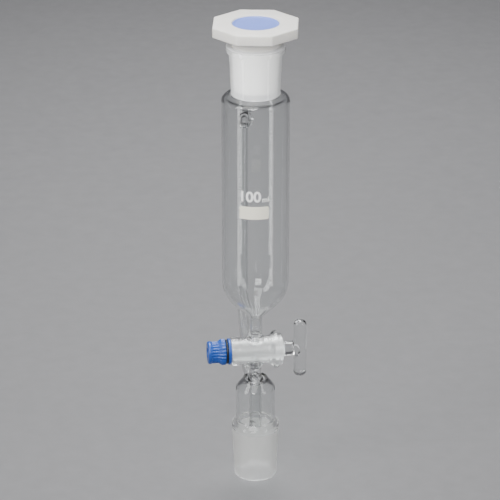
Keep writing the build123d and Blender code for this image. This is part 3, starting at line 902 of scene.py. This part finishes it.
class FUNNEL_OT_key(bpy.types.Operator):
    """Makes the solid glass key: ground plug, port, stem, T bar and threaded end"""

    bl_idname = "funnel.key"
    bl_label = "Stopcock Key"

    def execute(self, context):
        glass, stopcock = sizes("funnel_glass"), sizes("funnel_stopcock")
        near = BARREL_LOW.x + stopcock.plug_end_gap
        far = BARREL_HIGH.x - stopcock.plug_end_gap
        at_far = stopcock.bore_large - stopcock.ground_gap
        at_far -= stopcock.plug_end_gap * glass.joint_taper
        at_near = at_far - (far - near) * glass.joint_taper
        bar_x = (HANDLE_LOW.x + HANDLE_HIGH.x) / 2
        bar_radius = (HANDLE_HIGH.x - HANDLE_LOW.x) / 2
        polish = glass.polish
        outline = [
            (PLUG_LOW.x, 0),
            (PLUG_LOW.x, stopcock.thread_core, polish),
            (near, stopcock.thread_core, polish),
            (near, at_near, polish),
            (far, at_far, 1.2 * MM),
            (far + 1.6 * MM, stopcock.stem_radius, 1.5 * MM),
            (bar_x - bar_radius - 0.4 * MM, stopcock.stem_radius, 3.0 * MM),
            (bar_x - bar_radius * 0.5, stopcock.stem_radius + 1.4 * MM),
            (bar_x, stopcock.stem_radius - 0.8 * MM, 0.2 * MM),
            (bar_x + 0.5 * MM, 0),
        ]
        points = resampled(rounded(outline), 2.5 * MM)
        plug = turned(points, closed=False, along="X", centre_z=STOPCOCK_Z)
        bar_outline = [
            (0, HANDLE_LOW.z),
            (bar_radius, HANDLE_LOW.z, bar_radius * 0.85),
            (bar_radius, HANDLE_HIGH.z, bar_radius * 0.85),
            (0, HANDLE_HIGH.z),
        ]
        bar = turned(resampled(rounded(bar_outline, arc_steps=14), 2 * MM), closed=False)
        bmesh.ops.translate(bar, vec=(bar_x, 0, 0), verts=bar.verts)
        reach = Vector((0, 0, stopcock.bore_large + 1 * MM))
        middle = Vector((0, 0, STOPCOCK_Z))
        hole = round_rod(middle - reach, middle + reach, stopcock.key_port)
        thread = helix_ridge(stopcock, PLUG_LOW.x + 0.3 * MM, near - stopcock.thread_runout)
        piece = fused(plug, [bar, thread], [hole], "key")
        clear = glass_finish("key_glass", key_zones)
        finish_piece(piece, "key", clear, ("key_plug", "key_handle"))
        return {"FINISHED"}


class FUNNEL_OT_retainer(bpy.types.Operator):
    """Makes the blue washer and the black o-ring"""

    bl_idname = "funnel.retainer"
    bl_label = "Washer and O-ring"

    def execute(self, context):
        stopcock, finishes = sizes("funnel_stopcock"), sizes("funnel_finishes")
        bend = 0.4 * MM
        washer_radius = WASHER_HIGH.y
        outline = [
            (WASHER_LOW.x, stopcock.nut_bore, 0.2 * MM),
            (WASHER_LOW.x, washer_radius, bend),
            (WASHER_HIGH.x, washer_radius, bend),
            (WASHER_HIGH.x, stopcock.nut_bore, 0.2 * MM),
        ]
        points = rounded(outline, closed=True, arc_steps=5)
        bm = turned(points, closed=True, along="X", centre_z=STOPCOCK_Z)
        blue = moulded_finish("washer_blue", finishes.nut, 0.34, 2600.0, 0.00005)
        washer = as_object(bm, "washer")
        finish_piece(washer, "retainer", blue, ("retaining_washer",))
        cord = (RING_HIGH.x - RING_LOW.x) / 2
        middle = (RING_HIGH.x + RING_LOW.x) / 2
        inner = Vector((middle, RING_HIGH.y - cord))
        turns = [2 * pi * step / RING_STEPS for step in range(RING_STEPS)]
        points = [inner + Vector((cos(turn), sin(turn))) * cord for turn in turns]
        black = moulded_finish("ring_rubber", finishes.ring, 0.45, 3800.0, 0.00004)
        ring = as_object(turned(points, closed=True, along="X", centre_z=STOPCOCK_Z), "o_ring")
        finish_piece(ring, "retainer", black, ("retaining_o_ring",))
        return {"FINISHED"}


class FUNNEL_OT_nut(bpy.types.Operator):
    """Makes the ribbed blue retaining nut"""

    bl_idname = "funnel.nut"
    bl_label = "Retaining Nut"

    def execute(self, context):
        stopcock, finishes = sizes("funnel_stopcock"), sizes("funnel_finishes")
        near, far = NUT_HIGH.x, NUT_LOW.x
        skirt = NUT_HIGH.y
        waist = stopcock.nut_waist
        rim = stopcock.nut_rim
        rim_start = far + stopcock.nut_rim_width
        bore = stopcock.nut_bore
        outline = [
            (near, bore, 0.2 * MM),
            (near, skirt, 0.5 * MM),
            (near - 2.6 * MM, skirt - 0.1 * MM, 1.6 * MM),
            (near - 4.4 * MM, waist, 1.6 * MM),
            (rim_start + 0.6 * MM, waist, 0.6 * MM),
            (rim_start - 0.1 * MM, rim, 0.4 * MM),
            (far, rim, 0.9 * MM),
            (far, bore, 0.5 * MM),
        ]
        points = resampled(rounded(outline, closed=True, arc_steps=6), 0.8 * MM, closed=True)
        steps = stopcock.rib_count * STEPS_PER_RIB
        bm = turned(points, closed=True, along="X", centre_z=STOPCOCK_Z, steps=steps)
        middle = (near + rim_start) / 2
        plain_end = 0.9 * MM
        fade = 1.4 * MM
        full_reach = (near - rim_start) / 2 - plain_end
        for vert in bm.verts:
            up = vert.co.z - STOPCOCK_Z
            radius = hypot(vert.co.y, up)
            if radius < bore + 1.5 * MM:
                continue
            past_full = max(0.0, abs(vert.co.x - middle) - full_reach)
            along = max(0.0, 1 - past_full / fade)
            wave = 0.5 - 0.5 * cos(atan2(vert.co.y, up) * stopcock.rib_count)
            pull = 1 - along * stopcock.rib_depth * wave**1.6 / radius
            vert.co.y *= pull
            vert.co.z = STOPCOCK_Z + up * pull
        blue = moulded_finish("nut_blue", finishes.nut, 0.3, 2600.0, 0.00005)
        finish_piece(as_object(bm, "nut"), "nut", blue, ("retaining_nut",), sharp=50)
        return {"FINISHED"}


# ---- stopper ----


class FUNNEL_OT_stopper(bpy.types.Operator):
    """Moulds the octagonal stopper with its hollow plug, and the disc that closes it"""

    bl_idname = "funnel.stopper"
    bl_label = "Stopper"

    def execute(self, context):
        glass, stopper = sizes("funnel_glass"), sizes("funnel_stopper")
        finishes = sizes("funnel_finishes")
        top = STOPPER_HIGH.z
        head_z = top - stopper.head_height
        foot_z = STOPPER_LOW.z
        corner = stopper.head_flats / 2 / cos(pi / 8)
        head = bmesh.new()
        bmesh.ops.create_cone(
            head, cap_ends=True, segments=8, radius1=corner, radius2=corner, depth=stopper.head_height
        )
        bmesh.ops.rotate(head, matrix=Matrix.Rotation(stopper.head_turn + pi / 8, 3, "Z"), verts=head.verts)
        bmesh.ops.translate(head, vec=(0, 0, (top + head_z) / 2), verts=head.verts)
        bmesh.ops.bevel(
            head,
            geom=list(head.edges),
            offset=stopper.head_bevel,
            offset_type="OFFSET",
            segments=5,
            profile=0.5,
            affect="EDGES",
            material=-1,
        )
        gap = stopper.ground_gap
        mouth = SOCKET_HIGH.z
        taper = glass.joint_taper
        at_mouth = glass.joint_large - gap
        at_foot = at_mouth - (mouth - foot_z) * taper
        plug_outline = [
            (0, foot_z),
            (at_foot, foot_z, stopper.foot_bend),
            (at_mouth, mouth, 0.4 * MM),
            (at_mouth, head_z - 0.8 * MM, 0.8 * MM),
            (at_mouth + 1.4 * MM, head_z + 0.3 * MM),
            (0, head_z + 0.3 * MM),
        ]
        plug = turned(resampled(rounded(plug_outline), 3 * MM), closed=False)
        disc_radius = DISC_HIGH.x
        disc_floor = DISC_LOW.z
        wall = stopper.wall
        hollow_top = disc_radius - wall
        hollow_outline = [
            (0, foot_z + wall),
            (at_foot - wall, foot_z + wall, 1.0 * MM),
            (min(at_mouth - wall, hollow_top), disc_floor),
            (0, disc_floor),
        ]
        recess_floor = disc_floor - 0.01 * MM
        recess_radius = disc_radius + 0.05 * MM
        recess_lip = disc_radius + 0.5 * MM
        above = top + 1 * MM
        recess_outline = [
            (0, recess_floor),
            (recess_radius, recess_floor),
            (recess_radius, top - 0.45 * MM, 0.4 * MM),
            (recess_lip, top + 0.05 * MM),
            (recess_lip, above),
            (0, above),
        ]
        hollow = turned(resampled(rounded(hollow_outline), 3 * MM), closed=False)
        recess = turned(rounded(recess_outline), closed=False)
        ivory = moulded_finish("stopper_ivory", finishes.stopper, 0.42, 1500.0, 0.00006, waxy=0.25)
        piece = fused(head, [plug], [hollow, recess], "stopper")
        finish_piece(piece, "stopper", ivory, ("stopper_body",), sharp=40)
        disc_top = DISC_HIGH.z
        disc_outline = [
            (0, disc_floor),
            (disc_radius, disc_floor, 0.2 * MM),
            (disc_radius, disc_top, 0.3 * MM),
            (disc_radius - 1.0 * MM, disc_top, 0.3 * MM),
            (disc_radius - 1.4 * MM, disc_top - 0.3 * MM, 0.4 * MM),
            (0, disc_top - 0.35 * MM),
        ]
        disc = as_object(turned(resampled(rounded(disc_outline), 3 * MM), closed=False), "disc")
        blue = moulded_finish("disc_blue", finishes.disc, 0.38, 1500.0, 0.00005, waxy=0.15)
        finish_piece(disc, "stopper", blue, ("stopper_disc",))
        return {"FINISHED"}


# ---- fired enamel marks ----


def lettered(words, height, stroke, name):
    """A flat bmesh of a word, lying in the XZ plane with its middle at the origin."""
    text = bpy.data.curves.new(name, "FONT")
    text.body = words
    text.resolution_u = 6
    text.offset = stroke
    bm = from_curve(text, name)
    low = Vector([min(vert.co[axis] for vert in bm.verts) for axis in range(2)])
    high = Vector([max(vert.co[axis] for vert in bm.verts) for axis in range(2)])
    scale = height / (high.y - low.y)
    middle = (low + high) / 2
    for vert in bm.verts:
        vert.co = Vector(((vert.co.x - middle.x) * scale, 0, (vert.co.y - middle.y) * scale))
    return bm


def wrapped(bm, across, up, turn, film, name):
    """The flat marks thickened and wrapped onto the bowl, with their middle at (across, up)."""
    cuts_each_side, cut_spacing = 19, 0.5 * MM
    bmesh.ops.remove_doubles(bm, verts=bm.verts, dist=SAME_POINT)
    bmesh.ops.triangulate(bm, faces=bm.faces)
    for cut in range(-cuts_each_side, cuts_each_side + 1):
        place = (cut * cut_spacing, 0, 0)
        geom = list(bm.verts) + list(bm.edges) + list(bm.faces)
        bmesh.ops.bisect_plane(bm, geom=geom, plane_co=place, plane_no=(1, 0, 0), dist=SAME_POINT)
    made = bmesh.ops.extrude_face_region(bm, geom=list(bm.faces))
    lifted = [item for item in made["geom"] if isinstance(item, bmesh.types.BMVert)]
    bmesh.ops.translate(bm, vec=(0, -film, 0), verts=lifted)
    for vert in bm.verts:
        reach = BOWL_RADIUS + 0.01 * MM - vert.co.y
        where = turn - pi / 2 + (vert.co.x + across) / BOWL_RADIUS
        vert.co = Vector((reach * cos(where), reach * sin(where), up + vert.co.z))
    bmesh.ops.recalc_face_normals(bm, faces=bm.faces)
    return as_object(bm, name)


class FUNNEL_OT_marks(bpy.types.Operator):
    """Fires the enamel number, its unit and the writing panel onto the bowl"""

    bl_idname = "funnel.marks"
    bl_label = "Enamel Marks"

    def execute(self, context):
        marks, finishes = sizes("funnel_print"), sizes("funnel_finishes")
        glass = sizes("funnel_glass")
        middle = SOCKET_LOW.z - glass.upper_knee - marks.panel_drop
        white = moulded_finish("enamel_white", finishes.enamel, 0.5, 2600.0, 0.00002)
        cream = moulded_finish("enamel_panel", finishes.panel, 0.72, 4200.0, 0.00004)
        number_up = middle + marks.number_rise
        unit_up = number_up - (marks.number_height - marks.unit_height) / 2
        half_width, half_height = marks.panel_width / 2, marks.panel_height / 2
        corners = [
            (half_width * across, half_height * up, marks.panel_corner) for across, up in SQUARE
        ]
        panel = flat_face([(point.x, 0, point.y) for point in rounded(corners, closed=True)])
        number_face = lettered(marks.number, marks.number_height, marks.stroke, "number")
        unit_face = lettered(marks.unit, marks.unit_height, marks.stroke, "unit")
        pieces = (
            (number_face, -marks.number_offset, number_up, white, "mark_number"),
            (unit_face, marks.unit_offset, unit_up, white, "mark_unit"),
            (panel, 0, middle, cream, "mark_panel"),
        )
        for bm, across, up, material, name in pieces:
            piece = wrapped(bm, across, up, marks.turn, marks.film, name)
            finish_piece(piece, "glassware", material)
        return {"FINISHED"}


# ---- stage ----


def softbox(name, place, target, width, height, power, spread):
    """A rectangular area light aimed at a target."""
    light = bpy.data.lights.new(name, "AREA")
    light.shape = "RECTANGLE"
    light.size = width
    light.size_y = height
    light.energy = power
    light.spread = radians(spread)
    holder = bpy.data.objects.new(name, light)
    holder.location = place
    holder.rotation_euler = (target - place).to_track_quat("-Z", "Y").to_euler()
    bpy.context.scene.collection.objects.link(holder)


def around(azimuth, reach, height):
    """A place at an azimuth about the funnel, counted from the front towards +X."""
    return Vector((reach * sin(azimuth), -reach * cos(azimuth), height))


def glowing(name, strength):
    """A plain light-giving material for the strips."""
    made = Finish(name)
    values = {"Color": (1, 1, 1, 1), "Strength": strength}
    return made.output(made.node("ShaderNodeEmission", values=values))


def strip(name, azimuth, width, material):
    """A tall glowing strip that faces the funnel. The camera sees it only in the glass or through it."""
    stage = sizes("funnel_stage")
    side = Vector((cos(azimuth), sin(azimuth), 0)) * (width / 2)
    middle = around(azimuth, stage.strip_reach, stage.strip_height / 2)
    half_up = Vector((0, 0, stage.strip_height / 2))
    corners = [middle + side * across + half_up * up for across, up in SQUARE]
    piece = as_object(flat_face(corners), name)
    piece.data.materials.append(material)
    piece.visible_camera = False
    piece.visible_diffuse = False
    piece.visible_shadow = False


class FUNNEL_OT_stage(bpy.types.Operator):
    """Sets the pale floor, the lights and the camera"""

    bl_idname = "funnel.stage"
    bl_label = "Stage"

    def execute(self, context):
        stage, finishes = sizes("funnel_stage"), sizes("funnel_finishes")
        half = stage.floor_half
        floor = as_object(flat_face([(x * half, y * half, 0) for x, y in SQUARE]), "floor")
        floor.data.materials.append(moulded_finish("floor_matt", finishes.floor, 0.55, 40.0, 0.0001))
        funnel = Vector((0, 0, CAD_HIGH.z / 2))
        facing = -stage.azimuth
        behind = around(facing + pi, 0.45, 0)
        # name, degrees round from the camera, reach, height, aim, width, height, power, spread
        lights = (
            ("back_softbox", 180, 0.75, 1.3, behind, 0.5, 0.9, stage.back_power, 90),
            ("left_softbox", -60, 0.9, 0.75, funnel, 0.35, 0.7, stage.left_power, 180),
            ("right_softbox", 55, 1.0, 0.6, funnel, 0.3, 0.6, stage.right_power, 180),
            ("top_softbox", -20, 0.35, 1.0, funnel, 0.5, 0.5, stage.top_power, 180),
            ("front_softbox", -12, 1.3, 0.9, funnel, 0.6, 0.6, stage.front_power, 180),
        )
        for name, turn, reach, height, *shape in lights:
            softbox(name, around(facing + radians(turn), reach, height), *shape)
        glow = glowing("strip_glow", stage.strip_glow)
        dim_glow = glowing("strip_glow_dim", stage.strip_glow * stage.strip_dim)
        strip("left_strip", facing - radians(58), 0.055, glow)
        strip("right_strip", facing + radians(57), 0.045, dim_glow)
        world = bpy.data.worlds.new("surroundings")
        world.use_nodes = True
        background = world.node_tree.nodes["Background"]
        background.inputs["Color"].default_value = (0.62, 0.62, 0.66, 1)
        background.inputs["Strength"].default_value = stage.world
        context.scene.world = world
        lens = bpy.data.cameras.new("camera")
        lens.lens = stage.lens
        lens.sensor_width = 36
        holder = bpy.data.objects.new("camera", lens)
        holder.location = around(facing, stage.distance, stage.height)
        holder.rotation_euler = (pi / 2 - stage.pitch, 0, facing + stage.swing)
        context.scene.collection.objects.link(holder)
        context.scene.camera = holder
        return {"FINISHED"}


STEPS = (
    FUNNEL_OT_glass_body,
    FUNNEL_OT_key,
    FUNNEL_OT_retainer,
    FUNNEL_OT_nut,
    FUNNEL_OT_stopper,
    FUNNEL_OT_marks,
    FUNNEL_OT_stage,
)


class FUNNEL_PT_panel(bpy.types.Panel):
    """Buttons for each piece, and the sizes and colours they use"""

    bl_idname = "FUNNEL_PT_panel"
    bl_label = "Dropping Funnel"
    bl_space_type = "VIEW_3D"
    bl_region_type = "UI"
    bl_category = "Funnel"

    def draw(self, context):
        for step in STEPS:
            self.layout.operator(step.bl_idname)
        for name, group in GROUPS.items():
            box = self.layout.box()
            for key in group.__annotations__:
                box.prop(getattr(context.scene, name), key)


def register():
    """Registers the sizes, the operators and the panel."""
    for group in GROUPS.values():
        bpy.utils.register_class(group)
    for name, group in GROUPS.items():
        setattr(bpy.types.Scene, name, PointerProperty(type=group))
    for step in STEPS:
        bpy.utils.register_class(step)
    bpy.utils.register_class(FUNNEL_PT_panel)


def unregister():
    """Takes away what register added."""
    bpy.utils.unregister_class(FUNNEL_PT_panel)
    for step in reversed(STEPS):
        bpy.utils.unregister_class(step)
    for name, group in GROUPS.items():
        delattr(bpy.types.Scene, name)
        bpy.utils.unregister_class(group)


def main():
    """Builds everything in order."""
    register()
    for step in STEPS:
        area, name = step.bl_idname.split(".")
        getattr(getattr(bpy.ops, area), name)()


if __name__ == "__main__":
    main()
